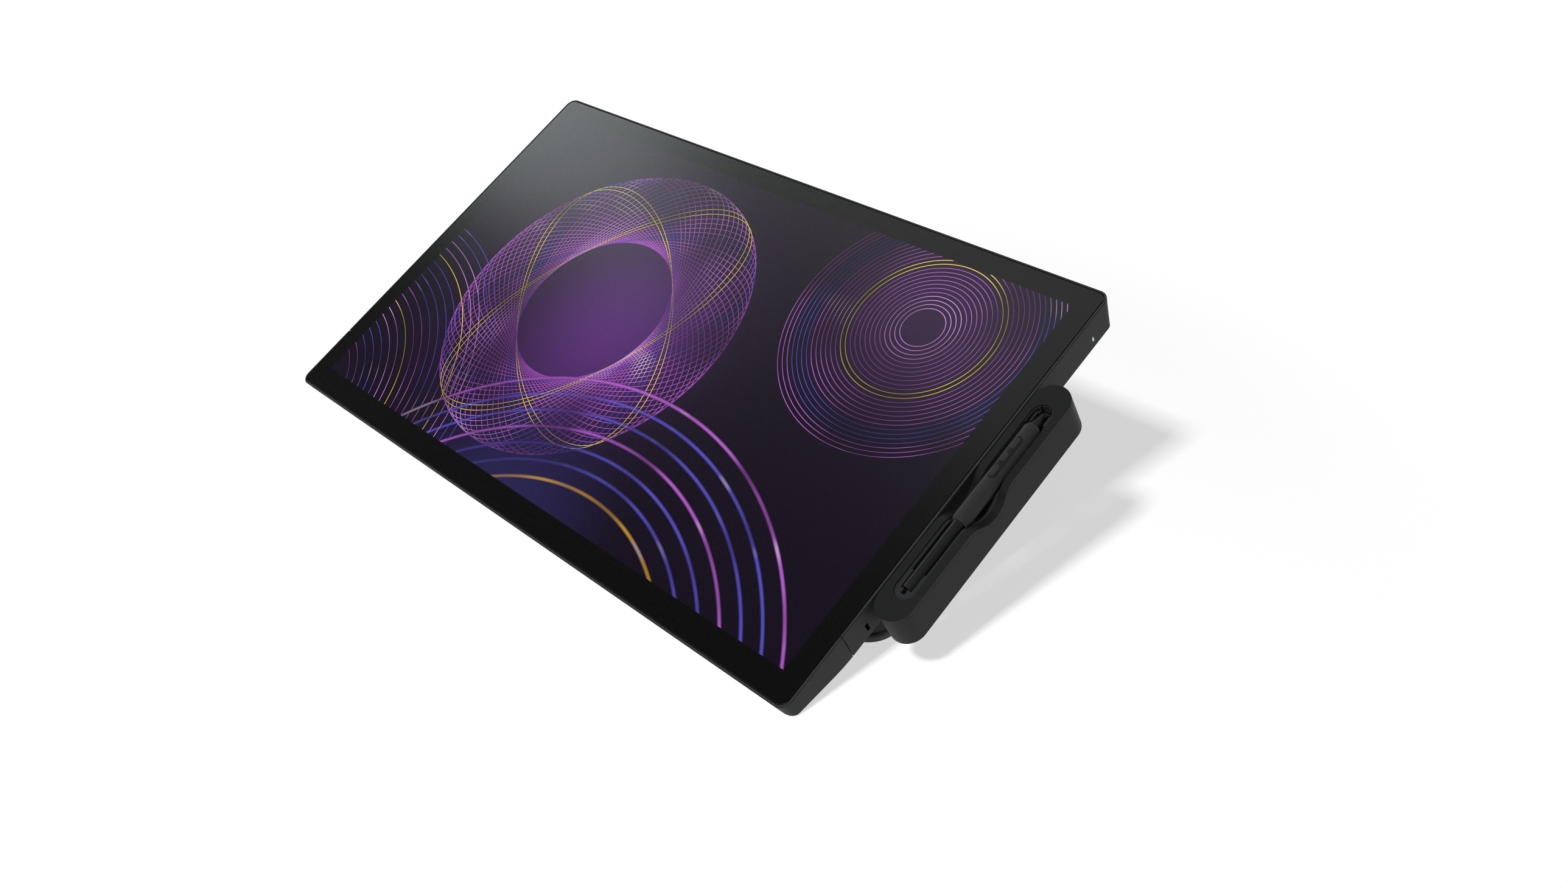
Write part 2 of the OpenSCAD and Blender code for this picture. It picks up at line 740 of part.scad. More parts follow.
module bar_layer(half, ra, rb, z0, z1) {
  x_prism(2 * half) polygon([[-ra, z0], [ra, z0], [rb, z1], [-rb, z1]]);
  for (i = [-1, 1]) translate([i * half, 0, z0]) cylinder(h = z1 - z0, r1 = ra, r2 = rb);
}

module base_casting() {
  color(c_shell) difference() {
    union() {
      translate([0, -bar_reach, 0]) soft_bar(bar_half, bar_r, foot_h, base_top);
      soft_bar(rear_half, rear_r, foot_h, base_top);
      translate([0, -bar_reach / 2, 0]) y_prism(bar_reach) soft_section(spine_half, foot_h, base_top);
    }
    translate([0, -bar_reach / 2, 0]) slab(window_w, window_d, window_r, foot_h - 1, base_top + 1);
    for (p = foot_spots) translate([p[0], p[1], foot_h - 1]) cylinder(h = foot_seat + 1, r = foot_r + 0.2);
    for (i = [-1, 1], j = [-1, 1]) translate([i * bracket_screw[0], j * bracket_screw[1], foot_h - 1])
      cylinder(h = base_t + 2, r = 2.55);
  }
}

module base_feet() {
  color(c_rubber) for (p = foot_spots) translate([p[0], p[1], 0])
    cylinder(h = foot_h + foot_seat, r = foot_r);
}

module hinge_lug(drop) {
  translate([lug_in, 0, 0]) rotate([90, 0, 90]) linear_extrude(lug_t) difference() {
    union() {
      circle(lug_r);
      translate([-lug_r, -drop]) square([2 * lug_r, drop]);
    }
    circle(pin_r + 0.02);
  }
}

module hinge_bracket() {
  color(c_steel) difference() {
    union() {
      translate([0, 0, base_top]) slab(bracket_w, bracket_d, 6, 0, plate_t);
      for (s = [0, 1]) mirror([s, 0, 0]) translate([0, 0, hinge_h])
        hinge_lug(hinge_h - base_top - plate_t + eps);
    }
    for (i = [-1, 1], j = [-1, 1]) translate([i * bracket_screw[0], j * bracket_screw[1], base_top - 1])
      cylinder(h = plate_t + 2, r = 2.6);
  }
}

module bracket_screws() {
  color(c_metal) for (i = [-1, 1], j = [-1, 1])
    translate([i * bracket_screw[0], j * bracket_screw[1], 0]) difference() {
      union() {
        translate([0, 0, foot_h + 0.8]) cylinder(h = base_t + plate_t - 0.8, r = 2.5);
        translate([0, 0, base_top + plate_t]) cylinder(h = 1.2, r = 4.4);
      }
      translate([0, 0, base_top + plate_t + 0.4]) cylinder(h = 2, r = 1.5, $fn = 6);
    }
}

module hinge_pin() {
  rotate([0, 90, 0]) translate([0, 0, -lug_in - lug_t - 1])
    cylinder(h = 2 * (lug_in + lug_t + 1), r = pin_r);
  for (s = [0, 1]) mirror([s, 0, 0]) translate([lug_in + lug_t + 0.2, 0, 0]) rotate([0, 90, 0])
    cylinder(h = 2, r = pin_r + 2.5);
}

module base_pin() {
  color(c_metal) translate([0, 0, hinge_h]) hinge_pin();
}

module arm_beam() {
  color(c_shell) arm_pose() difference() {
    union() {
      for (y = [0, -arm_len]) translate([-knuckle_half, y, 0]) rotate([0, 90, 0])
        cylinder(h = 2 * knuckle_half, r = knuckle_r);
      translate([0, -arm_len / 2, 0]) y_prism(arm_len) arm_section();
    }
    for (y = [0, -arm_len]) translate([-knuckle_half - 1, y, 0]) rotate([0, 90, 0])
      cylinder(h = 2 * knuckle_half + 2, r = pin_r + pin_clear);
    translate([0, -arm_len / 2, 0]) slab(arm_window_w, arm_window_d, 12, -20, 20);
    translate([0, -arm_len / 2, 0]) slab(arm_hollow_w, arm_hollow_d, 10, -20, -5);
  }
}

module arm_section() {
  square([2 * knuckle_half, 2 * (arm_half_t - arm_chamfer)], center = true);
  side = arm_half_t - arm_chamfer;
  top = knuckle_half - arm_chamfer;
  for (s = [0, 1]) mirror([0, s])
    polygon([[-knuckle_half, side], [knuckle_half, side], [top, arm_half_t], [-top, arm_half_t]]);
}

module washer_pair() {
  for (s = [0, 1]) mirror([s, 0, 0]) translate([knuckle_half + 0.3, 0, 0]) rotate([0, 90, 0]) difference() {
    cylinder(h = lug_in - knuckle_half - 0.4, r = knuckle_r - 1.5);
    translate([0, 0, -1]) cylinder(h = 6, r = pin_r + 0.02);
  }
}

module hinge_washers() {
  color(c_black) translate([0, 0, hinge_h]) washer_pair();
}

module head_pin() {
  color(c_metal) display_pose() translate([0, 0, head_z]) hinge_pin();
}

module head_plate() {
  color(c_steel) display_pose() difference() {
    union() {
      slab(plate_w, plate_d, plate_r, -panel_t - plate_t, -panel_t);
      for (s = [0, 1]) mirror([s, 0, 0]) translate([0, 0, head_z]) rotate([180, 0, 0])
        hinge_lug(head_drop - plate_t + eps);
    }
    for (i = [-1, 1], j = [-1, 1]) translate([i * vesa / 2, j * vesa / 2, -panel_t - plate_t - 1])
      cylinder(h = plate_t + 2, r = 2.2);
  }
}

module plate_screws() {
  color(c_metal) display_pose() for (i = [-1, 1], j = [-1, 1])
    translate([i * vesa / 2, j * vesa / 2, -panel_t - plate_t]) difference() {
      union() {
        cylinder(h = plate_t + 7.6, r = 2);
        translate([0, 0, -2.4]) cylinder(h = 2.4, r = 4);
      }
      translate([0, 0, -2.5]) cylinder(h = 1.5, r = 1.5, $fn = 6);
    }
}

// Tray pieces

// Side view of the finger dip, lowered by off
function dip_view(off) = concat(
  arc([-dip_half, -dip_r - off], dip_r, 90, 90 - dip_a, 9),
  arc([0, dip_r - dip_depth - off], dip_r, 270 - dip_a, 270 + dip_a, 18),
  arc([dip_half, -dip_r - off], dip_r, 90 + dip_a, 90, 9));

module dip_above(off) {
  translate([tray_x, tray_y, 0]) x_prism(tray_w + 20)
    polygon(concat([[-tray_len, 8], [-tray_len, -off]], dip_view(off), [[tray_len, -off], [tray_len, 8]]));
}

module tray_outline(off) {
  translate([tray_x, tray_y]) rotate(90) capsule(tray_len - 2 * off, tray_w - 2 * off);
}

module pocket_outline(off) {
  translate([tray_x, tray_y]) rotate(90) capsule(pocket_len - 2 * off, pocket_w - 2 * off);
}

module tray_column(off, z0, z1) {
  translate([0, 0, z0]) linear_extrude(z1 - z0) tray_outline(off);
}

module pocket_column(off, z0, z1) {
  translate([0, 0, z0]) linear_extrude(z1 - z0) pocket_outline(off);
}

module tray_top() {
  color(c_dark) display_pose() difference() {
    tray_column(0, -dip_depth - tray_top_t - 2, 0);
    dip_above(0);
    difference() {
      tray_column(-1, -dip_depth - tray_top_t - 4, 2);
      dip_above(tray_top_t);
    }
    pocket_column(0, -40, 5);
  }
}

module tray_shell() {
  color(c_shell) display_pose() difference() {
    tray_column(0, -tray_depth, 1);
    tray_column(tray_wall, -tray_depth - 1, 5);
    dip_above(tray_top_t + seam / 2);
    tray_column(tray_wall / 2, -tray_depth - 1, -tray_depth + 2);
    for (y = hook_y) translate([half_w + tray_gap, y, hook_z])
      block(8, hook_w + 1, -hook_t / 2 - seam, hook_t / 2 + seam);
  }
}

module tray_floor() {
  color(c_dark) display_pose()
    tray_column(tray_wall / 2 + seam / 2, -tray_depth, -tray_depth + tray_floor_t);
}

module tray_liner() {
  color(c_dark) display_pose() difference() {
    pocket_column(liner_gap, liner_bottom, -0.5);
    dip_above(1);
    translate([tray_x, tip_y - grip_end - 2, pen_z + channel_lift]) rotate([-90, 0, 0])
      cylinder(h = grip_end - grip_start + 3, r = channel_r);
    translate([tray_x, tip_y - pen_len - 0.8, pen_z]) rotate([-90, 0, 0])
      cylinder(h = pen_len - grip_end, r = shaft_r + 0.3);
    translate([tray_x, tip_y - pen_len / 2 - grip_end / 2, 0])
      block(2 * shaft_r + 0.6, pen_len - grip_end + 1.6, pen_z, 3);
    translate([tray_x, tip_y - pen_len + tail_stop + (pen_len - grip_end - tail_stop) / 2, 0])
      block(12, pen_len - grip_end - tail_stop, -8.6, 3);
    translate([tray_x, tip_y - 6.5, 0]) block(9.6, 17, -9.6, 3);
    nose_well();
    for (i = [-1, 1]) translate([tray_x + i * well_post_x, tip_y - 14, 0])
      block(2.4, 3, liner_bottom - 1, 3);
    translate([tray_x, tip_y - pen_len - 2.6, 0]) block(3.2, 4, -6, 3);
  }
}

// Lowered well around the nib, with a low rib on each side
module nose_well() {
  difference() {
    intersection() {
      pocket_column(1, -5, 3);
      translate([tray_x, tip_y - 4, 0]) block(pocket_w, 26, -6, 4);
    }
    for (i = [-1, 1]) translate([tray_x + i * well_post_x, tip_y - 7, 0]) block(1.6, 8, -7, -2.6);
  }
}

module tray_bracket() {
  color(c_steel) display_pose() {
    translate([half_w + tray_gap + tray_wall + 1, 0, 0])
      block(1.6, hook_y[1] - hook_y[0] + hook_w + 8, hook_z - 7, hook_z + 2.6);
    for (y = hook_y) translate([half_w + tray_gap - 0.7, y, hook_z])
      block(9, hook_w, -hook_t / 2, hook_t / 2);
  }
}

module nib_holder() {
  color(c_rubber) display_pose() translate([tray_x, nib_y, 0]) difference() {
    block(14, nib_len - 4, -tray_depth + tray_floor_t, nib_z + 3);
    for (i = [-1:1]) translate([nib_pitch * i, -nib_len, nib_z]) rotate([-90, 0, 0])
      cylinder(h = 2 * nib_len, r = 1.12);
  }
}

module spare_nibs() {
  color(c_black) display_pose() for (i = [-1:1])
    translate([tray_x + nib_pitch * i, nib_y - nib_len / 2 - 1, nib_z]) rotate([-90, 0, 0])
      cylinder(h = nib_len, r = 1.1);
}

// Pen pieces, drawn with +Z from nib to tail and +Y on the button side

module pen_grip() {
  color(c_pen) pen_pose() difference() {
    rotate_extrude() polygon(concat(
      [[bore_r, grip_start], [4.7, grip_start]],
      arc([grip_r - 2.4, grip_start + 3], 2.4, -50, 0, 6),
      [[grip_r, grip_start + 40], [flare_r, grip_end - 5], [flare_r - 0.05, grip_end - 1.4],
        [flare_r - 0.6, grip_end], [bore_r, grip_end]]));
    translate([0, 4.4, (plate_u0 + plate_u1) / 2]) rotate([-90, 0, 0]) linear_extrude(8)
      rotate(90) capsule(plate_u1 - plate_u0 + 0.2, 2 * plate_half + 0.2);
    for (k = [0:2]) translate([0, 2, button_u[k]]) rotate([-90, 0, 0]) linear_extrude(8)
      rotate(90) capsule(button_len[k] + 1.6, 2 * button_half + 1.4);
  }
}

module pen_nose() {
  color(c_pen) pen_pose() difference() {
    union() {
      translate([0, 0, 3]) cylinder(h = grip_start - 3, r1 = 1.5, r2 = 4);
      translate([0, 0, grip_start - eps]) cylinder(h = 9, r = bore_r - 0.03);
    }
    translate([0, 0, 1]) cylinder(h = 40, r = 1.05);
    translate([0, 0, grip_start - 2]) cylinder(h = 20, r = 2.85);
  }
}

module pen_nib() {
  color(c_black) pen_pose() {
    translate([0, 0, 0.9]) sphere(r = 0.9);
    translate([0, 0, 0.9]) cylinder(h = 22, r = 0.9);
  }
}

module pen_coil() {
  color([0.45, 0.25, 0.12]) pen_pose() difference() {
    translate([0, 0, grip_start - 1.8]) cylinder(h = 10, r = 2.8);
    translate([0, 0, grip_start - 4]) cylinder(h = 20, r = 1.05);
  }
}

module pen_board() {
  color(c_board) pen_pose() {
    translate([-3, pen_board_y, 26]) cube([6, 1, 66]);
    for (k = [0:2]) translate([-1.2, pen_board_y + 1 - eps, button_u[k] - 1.2]) cube([2.4, 0.5, 2.4]);
  }
}

module pen_shaft() {
  color(c_pen) pen_pose() difference() {
    union() {
      translate([0, 0, grip_end - 8]) cylinder(h = 9, r = bore_r - 0.03);
      translate([0, 0, grip_end + 0.2])
        cylinder(h = pen_len - grip_end - 0.8, r1 = shaft_r, r2 = shaft_r - 0.2);
      translate([0, 0, pen_len - 0.6]) cylinder(h = 0.6, r1 = shaft_r - 0.2, r2 = shaft_r - 0.7);
    }
    translate([0, 0, grip_end - 9]) cylinder(h = pen_len - grip_end - 6, r = 3);
    translate([0, 0, pen_len - 1.5]) cylinder(h = 2, r = 3.1);
  }
}

module pen_button_plate() {
  color(c_dark) pen_pose() difference() {
    intersection() {
      translate([0, 0, plate_u0 - 1]) cylinder(h = plate_u1 - plate_u0 + 2, r = grip_r + plate_rise);
      translate([0, 4.4, (plate_u0 + plate_u1) / 2]) rotate([-90, 0, 0]) linear_extrude(8)
        rotate(90) capsule(plate_u1 - plate_u0, 2 * plate_half);
    }
    for (k = [0:2]) translate([0, 2, button_u[k]]) rotate([-90, 0, 0]) linear_extrude(8)
      rotate(90) capsule(button_len[k] + 0.4, 2 * button_half + 0.4);
  }
}

module pen_button(k) {
  color(c_pen) pen_pose() difference() {
    union() {
      intersection() {
        translate([0, 0, plate_u0 - 1])
          cylinder(h = plate_u1 - plate_u0 + 2, r = grip_r + plate_rise + button_rise);
        translate([0, stem_low + 0.5, button_u[k]]) rotate([-90, 0, 0]) linear_extrude(8)
          rotate(90) capsule(button_len[k], 2 * button_half);
      }
      translate([0, stem_low, button_u[k]]) rotate([-90, 0, 0]) linear_extrude(1.1)
        rotate(90) capsule(button_len[k] + 1.2, 2 * button_half + 1);
    }
    if (k == 1) translate([0, grip_r + plate_rise + button_rise + 2.2, button_u[k]]) sphere(r = 2.5);
  }
}

cover_glass();
lcd_cell();
light_panel();
sensor_board();
shield_sheet();
chassis_tray();
rear_cover();
front_cover();
main_board();
power_board();
heat_sink();
fan_case(-1);  // fan_case_left
fan_case(1);  // fan_case_right
fan_rotor(-1);  // fan_rotor_left
fan_rotor(1);  // fan_rotor_right
vent_grille(-1);  // vent_grille_left
vent_grille(1);  // vent_grille_right
port_block();
key_board(-1);  // key_board_left
key_board(1);  // key_board_right
rear_key(-1, key_y[0]);  // rear_key_left_1
rear_key(-1, key_y[1]);  // rear_key_left_2
rear_key(-1, key_y[2]);  // rear_key_left_3
rear_key(-1, key_y[3]);  // rear_key_left_4
rear_key(1, key_y[0]);  // rear_key_right_1
rear_key(1, key_y[1]);  // rear_key_right_2
rear_key(1, key_y[2]);  // rear_key_right_3
rear_key(1, key_y[3]);  // rear_key_right_4
power_button();
touch_switch();
switch_board();
status_light();
cover_screws();
base_casting();
base_feet();
hinge_bracket();
bracket_screws();
base_pin();
arm_beam();
hinge_washers();
head_pin();
head_plate();
plate_screws();
tray_shell();
tray_top();
tray_liner();
tray_floor();
tray_bracket();
nib_holder();
spare_nibs();
pen_grip();
pen_nose();
pen_nib();
pen_coil();
pen_board();
pen_shaft();
pen_button_plate();
pen_button(0);  // pen_button_front
pen_button(1);  // pen_button_middle
pen_button(2);  // pen_button_rear
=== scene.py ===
"""Looks of the pen display: finishes of every piece, the lit picture, floor, light and camera."""
import json
import math

import bmesh
import bpy
from mathutils import Matrix, Vector


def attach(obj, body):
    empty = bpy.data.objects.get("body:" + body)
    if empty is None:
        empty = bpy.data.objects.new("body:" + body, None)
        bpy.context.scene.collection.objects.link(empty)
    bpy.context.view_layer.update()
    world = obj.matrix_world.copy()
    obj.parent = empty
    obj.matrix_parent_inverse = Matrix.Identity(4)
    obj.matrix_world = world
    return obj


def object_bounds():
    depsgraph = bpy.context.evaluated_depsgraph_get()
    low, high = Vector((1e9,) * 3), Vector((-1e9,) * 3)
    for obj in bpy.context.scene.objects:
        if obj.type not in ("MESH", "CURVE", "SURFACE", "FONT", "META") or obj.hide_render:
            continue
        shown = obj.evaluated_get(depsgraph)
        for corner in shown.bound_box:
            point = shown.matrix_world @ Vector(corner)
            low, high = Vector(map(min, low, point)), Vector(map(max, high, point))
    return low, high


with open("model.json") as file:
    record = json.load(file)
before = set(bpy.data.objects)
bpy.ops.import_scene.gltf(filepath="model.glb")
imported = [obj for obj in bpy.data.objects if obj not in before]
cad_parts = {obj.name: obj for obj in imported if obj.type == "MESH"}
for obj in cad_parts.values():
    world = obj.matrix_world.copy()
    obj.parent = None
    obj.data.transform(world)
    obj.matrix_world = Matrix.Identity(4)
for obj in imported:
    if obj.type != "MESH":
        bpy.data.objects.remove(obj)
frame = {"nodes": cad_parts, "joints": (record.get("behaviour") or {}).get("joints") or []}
cad_low, cad_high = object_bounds()
nodes = frame["nodes"]
mm = 0.001
white = (1.0, 1.0, 1.0, 1.0)
black = (0.0, 0.0, 0.0, 1.0)

# Camera, from the outline of the lit area in the photograph
camera_spot = Vector((0.8445, -0.8819, 0.6471))
camera_heading = math.radians(46.05)
camera_dip = math.radians(30.45)
camera_lens = 33.63
camera_sensor = 36.0

# Display frame: x along the screen, y up the screen, z out of the glass,
# with its origin on the glass over the middle of the lit area


def joint_axis(name):
    """Direction of a joint at rest."""
    return Vector(next(j["axis"] for j in frame["joints"] if j["name"] == name)).normalized()


screen_normal = joint_axis("pen_lift")
tilt = math.atan2(-screen_normal.y, screen_normal.z)
lean = Matrix.Rotation(tilt, 4, "X")


def leaning_box(name):
    """Lowest and highest corner of a node along the display's own directions."""
    points = [lean.inverted() @ v.co for v in nodes[name].data.vertices]
    low = Vector([min(p[i] for p in points) for i in range(3)])
    high = Vector([max(p[i] for p in points) for i in range(3)])
    return low, high


glass_top = leaning_box("cover_glass")[1].z
cell_low, cell_high = leaning_box("lcd_cell")
lit_middle = Vector((0, (cell_low.y + cell_high.y) / 2, glass_top))
display = lean @ Matrix.Translation(lit_middle)
# Unlit border of the liquid-crystal cell
cell_border = 5.6 * mm
lit_half_x = cell_high.x - cell_border
lit_half_y = (cell_high.y - cell_low.y) / 2 - cell_border
# Depth under the top of the glass within which a point is on the display's face
face_depth = 0.05 * mm


# Node helpers


def put(tree, socket, value):
    """Links value to the socket where it is a socket, and else sets it as a number or colour."""
    if isinstance(value, bpy.types.NodeSocket):
        tree.links.new(value, socket)
    else:
        socket.default_value = value


def add(tree, kind, settings=None, **inputs):
    """New node with its settings, and its inputs by name, with _ for a space."""
    made = tree.nodes.new(kind)
    for name, value in (settings or {}).items():
        setattr(made, name, value)
    for name, value in inputs.items():
        put(tree, made.inputs[name.replace("_", " ")], value)
    return made


def calc(tree, operation, *values):
    """Output of a Math node."""
    made = add(tree, "ShaderNodeMath", {"operation": operation})
    for socket, value in zip(made.inputs, values):
        put(tree, socket, value)
    return made.outputs[0]


def away_from(tree, place, middle):
    """Distance of a point from middle."""
    made = add(tree, "ShaderNodeVectorMath", {"operation": "DISTANCE"})
    put(tree, made.inputs[0], place)
    put(tree, made.inputs[1], middle)
    return made.outputs["Value"]


def ramp(tree, value, low, high, to_low=0.0, to_high=1.0):
    """Smooth step of value from low to high."""
    made = add(tree, "ShaderNodeMapRange", {"interpolation_type": "SMOOTHSTEP"}, Value=value)
    made.inputs["From Min"].default_value = low
    made.inputs["From Max"].default_value = high
    made.inputs["To Min"].default_value = to_low
    made.inputs["To Max"].default_value = to_high
    return made.outputs[0]


def mix(tree, factor, a, b):
    """Colour between a and b."""
    made = add(tree, "ShaderNodeMix", {"data_type": "RGBA"})
    put(tree, made.inputs[0], factor)
    put(tree, made.inputs[6], a)
    put(tree, made.inputs[7], b)
    return made.outputs[2]


def mix_shaders(tree, factor, a, b):
    """Shader between a and b."""
    made = tree.nodes.new("ShaderNodeMixShader")
    for socket, value in zip(made.inputs, (factor, a, b)):
        put(tree, socket, value)
    return made.outputs[0]


def noise(tree, place, grain, detail=2.0, roughness=0.5):
    """Noise value with features about grain metres across."""
    made = add(tree, "ShaderNodeTexNoise",
               Vector=place, Scale=1 / grain, Detail=detail, Roughness=roughness)
    return made.outputs[0]


def shaded(colour, share):
    """Colour with its light scaled by share."""
    return tuple(min(1.0, c * share) for c in colour[:3]) + (1.0,)


def mottled(tree, pattern, colour, low_share, high_share):
    """Colour that goes from one share of its light to another with a pattern."""
    return mix(tree, pattern, shaded(colour, low_share), shaded(colour, high_share))


def start(name):
    """New material, its tree, its shader and the place of a point on the piece."""
    made = bpy.data.materials.new(name)
    made.use_nodes = True
    tree = made.node_tree
    place = tree.nodes.new("ShaderNodeTexCoord").outputs["Object"]
    return made, tree, tree.nodes["Principled BSDF"], place


def screen_place(tree, place):
    """Point on the screen, in the display frame."""
    back = display.inverted()
    moved = add(
        tree, "ShaderNodeMapping", {"vector_type": "POINT"},
        Vector=place, Rotation=tuple(back.to_euler()), Location=tuple(back.to_translation()),
    )
    return moved.outputs[0]


def on_face(tree, place):
    """1 on the display's face, where rim and glass are level, and 0 below it."""
    height = add(tree, "ShaderNodeSeparateXYZ", Vector=screen_place(tree, place)).outputs[2]
    return calc(tree, "GREATER_THAN", height, -face_depth)


def vary_roughness(tree, shader, pattern, at_low, at_high, low=0.3, high=0.7):
    """Roughness that goes from at_low to at_high as a pattern goes from low to high."""
    put(tree, shader.inputs["Roughness"], ramp(tree, pattern, low, high, at_low, at_high))


def roughen(tree, shader, height, distance, edge=0.0):
    """Fine relief on the surface, with edges softened to the radius edge."""
    bump = add(tree, "ShaderNodeBump", Height=height, Distance=distance)
    if edge:
        softened = add(tree, "ShaderNodeBevel", {"samples": 6}, Radius=edge)
        put(tree, bump.inputs["Normal"], softened.outputs[0])
    put(tree, shader.inputs["Normal"], bump.outputs[0])


# Finishes

plastic_gloss = 0.14
glass_gloss = 0.36
glass_roughness = 0.27
glass_black = (0.0025, 0.0025, 0.0027, 1.0)
# Shares of the fine pits and of the broad tone in the mottling of moulded plastic
pit_share = 0.6
tone_share = 0.4
# Stretch of a noise that makes it lines along x
drawn_stretch = (1, 40, 40)


def moulded_plastic(name, colour, roughness, grain=0.45 * mm, depth=0.02 * mm, edge=0.3 * mm,
                    gloss=plastic_gloss, rim_highlight_colour=None):
    """Matte plastic with the fine pits of an eroded mould and a faint change of tone.

    With a highlight colour given, the rim that is level with the glass is painted in that paler
    colour instead: a painted highlight for the light caught along its edge.
    """
    made, tree, shader, place = start(name)
    pits = noise(tree, place, grain, 3.0, 0.6)
    tone = noise(tree, place, 38 * mm, 2.0)
    fine = calc(tree, "MULTIPLY", pits, pit_share)
    speck = calc(tree, "ADD", fine, calc(tree, "MULTIPLY", tone, tone_share))
    body = mottled(tree, speck, colour, 0.72, 1.28)
    # Painted highlight: the rim level with the glass gets a paler colour, standing for the light
    # its edge catches
    if rim_highlight_colour:
        rim = mottled(tree, speck, rim_highlight_colour, 0.72, 1.28)
        body = mix(tree, on_face(tree, place), body, rim)
    put(tree, shader.inputs["Base Color"], body)
    vary_roughness(tree, shader, pits, roughness + 0.06, roughness - 0.06, 0.25, 0.75)
    shader.inputs["Specular IOR Level"].default_value = gloss
    roughen(tree, shader, pits, depth, edge)
    return made


def soft_touch(name, colour, roughness):
    """Rubbery coat with a faint sheen and finger-polished patches."""
    made, tree, shader, place = start(name)
    grain = noise(tree, place, 0.25 * mm, 3.0)
    worn = noise(tree, place, 9 * mm, 2.0)
    put(tree, shader.inputs["Base Color"], mottled(tree, grain, colour, 0.85, 1.15))
    vary_roughness(tree, shader, worn, roughness + 0.05, roughness - 0.05)
    shader.inputs["Sheen Weight"].default_value = 0.09
    shader.inputs["Sheen Roughness"].default_value = 0.5
    shader.inputs["Specular IOR Level"].default_value = plastic_gloss
    roughen(tree, shader, grain, 0.01 * mm)
    return made


def powder_coat(name, colour, roughness):
    """Painted casting with a low orange-peel surface."""
    made, tree, shader, place = start(name)
    peel = noise(tree, place, 0.9 * mm, 2.0, 0.6)
    tone = noise(tree, place, 60 * mm, 2.0)
    put(tree, shader.inputs["Base Color"], mottled(tree, tone, colour, 0.85, 1.15))
    vary_roughness(tree, shader, peel, roughness + 0.07, roughness - 0.05)
    roughen(tree, shader, peel, 0.03 * mm, 0.5 * mm)
    return made


def rolled_metal(name, colour, roughness):
    """Metal with fine drawn lines along one direction."""
    made, tree, shader, place = start(name)
    drawn = add(tree, "ShaderNodeMapping", {"vector_type": "POINT"},
                Vector=place, Scale=drawn_stretch)
    lines = noise(tree, drawn.outputs[0], 12 * mm, 3.0, 0.6)
    put(tree, shader.inputs["Base Color"], mottled(tree, lines, colour, 0.86, 1.1))
    vary_roughness(tree, shader, lines, roughness + 0.08, roughness - 0.08)
    shader.inputs["Metallic"].default_value = 1.0
    roughen(tree, shader, lines, 0.01 * mm)
    return made


def circuit_board(name, mask_colour, track_colour):
    """Solder mask with copper tracks showing through it."""
    made, tree, shader, place = start(name)
    cells = add(tree, "ShaderNodeTexBrick",
                Vector=place, Scale=220.0, Mortar_Size=0.05, Mortar_Smooth=0.1)
    tracks = cells.outputs["Fac"]
    tone = noise(tree, place, 6 * mm, 2.0)
    mask = mottled(tree, tone, mask_colour, 0.8, 1.2)
    put(tree, shader.inputs["Base Color"], mix(tree, tracks, mask, track_colour))
    vary_roughness(tree, shader, tone, 0.42, 0.3)
    roughen(tree, shader, tracks, 0.03 * mm)
    return made


def rubber(name, colour):
    """Matte rubber with a fine grain."""
    made, tree, shader, place = start(name)
    grain = noise(tree, place, 0.6 * mm, 3.0)
    put(tree, shader.inputs["Base Color"], mottled(tree, grain, colour, 0.7, 1.3))
    vary_roughness(tree, shader, grain, 0.9, 0.75)
    roughen(tree, shader, grain, 0.03 * mm)
    return made


def wound_copper(name, colour):
    """Enamelled wire laid in close turns."""
    made, tree, shader, place = start(name)
    turned = add(tree, "ShaderNodeMapping", Vector=place, Rotation=(-tilt, 0, 0))
    wave = add(tree, "ShaderNodeTexWave", {"bands_direction": "Y"},
               Vector=turned.outputs[0], Scale=900.0)
    turns = wave.outputs["Fac"]
    put(tree, shader.inputs["Base Color"], mottled(tree, turns, colour, 0.4, 1.0))
    shader.inputs["Metallic"].default_value = 0.8
    vary_roughness(tree, shader, turns, 0.5, 0.3, 0.0, 1.0)
    roughen(tree, shader, turns, 0.08 * mm)
    return made


def milky_sheet(name, colour):
    """Light-spreading sheet with a dot pattern."""
    made, tree, shader, place = start(name)
    dots = add(tree, "ShaderNodeTexVoronoi", {"feature": "F1"},
               Vector=place, Scale=420.0, Randomness=0.0)
    spots = ramp(tree, dots.outputs["Distance"], 0.2, 0.35)
    put(tree, shader.inputs["Base Color"], mottled(tree, spots, colour, 1.0, 0.86))
    vary_roughness(tree, shader, spots, 0.25, 0.45, 0.0, 1.0)
    return made


def lamp_glow(name, colour, strength):
    """Lit window of a small lamp."""
    made, tree, shader, place = start(name)
    core = noise(tree, place, 1.2 * mm, 1.0)
    put(tree, shader.inputs["Base Color"], mottled(tree, core, colour, 0.2, 0.3))
    shader.inputs["Emission Color"].default_value = colour
    shader.inputs["Emission Strength"].default_value = strength
    shader.inputs["Roughness"].default_value = 0.3
    return made


# The lit picture: soft violet light under rings of thin lines

glow_dark = (0.0048, 0.0014, 0.0090, 1.0)
glow_mid = (0.024, 0.0070, 0.040, 1.0)
glow_bright = (0.088, 0.020, 0.160, 1.0)
glow_blue = (0.020, 0.016, 0.085, 1.0)
# Soft lights of the picture: place on the screen, reach, colour
glow_spots = (
    ((-0.085, 0.000), 0.230, glow_mid),
    ((-0.050, -0.015), 0.130, glow_bright),
    ((0.205, 0.105), 0.120, glow_mid),
    ((-0.020, -0.200), 0.150, glow_blue),
)
# Sizes of the slow changes along the picture's lines, and the colour of their brightest places
swell_grain = 95 * mm
flare_grain = 61 * mm
flare_colour = (0.95, 0.72, 0.93, 1.0)
# Height of the lines over the glass, and their thickness
line_lift = 0.02 * mm
line_depth = 0.015 * mm


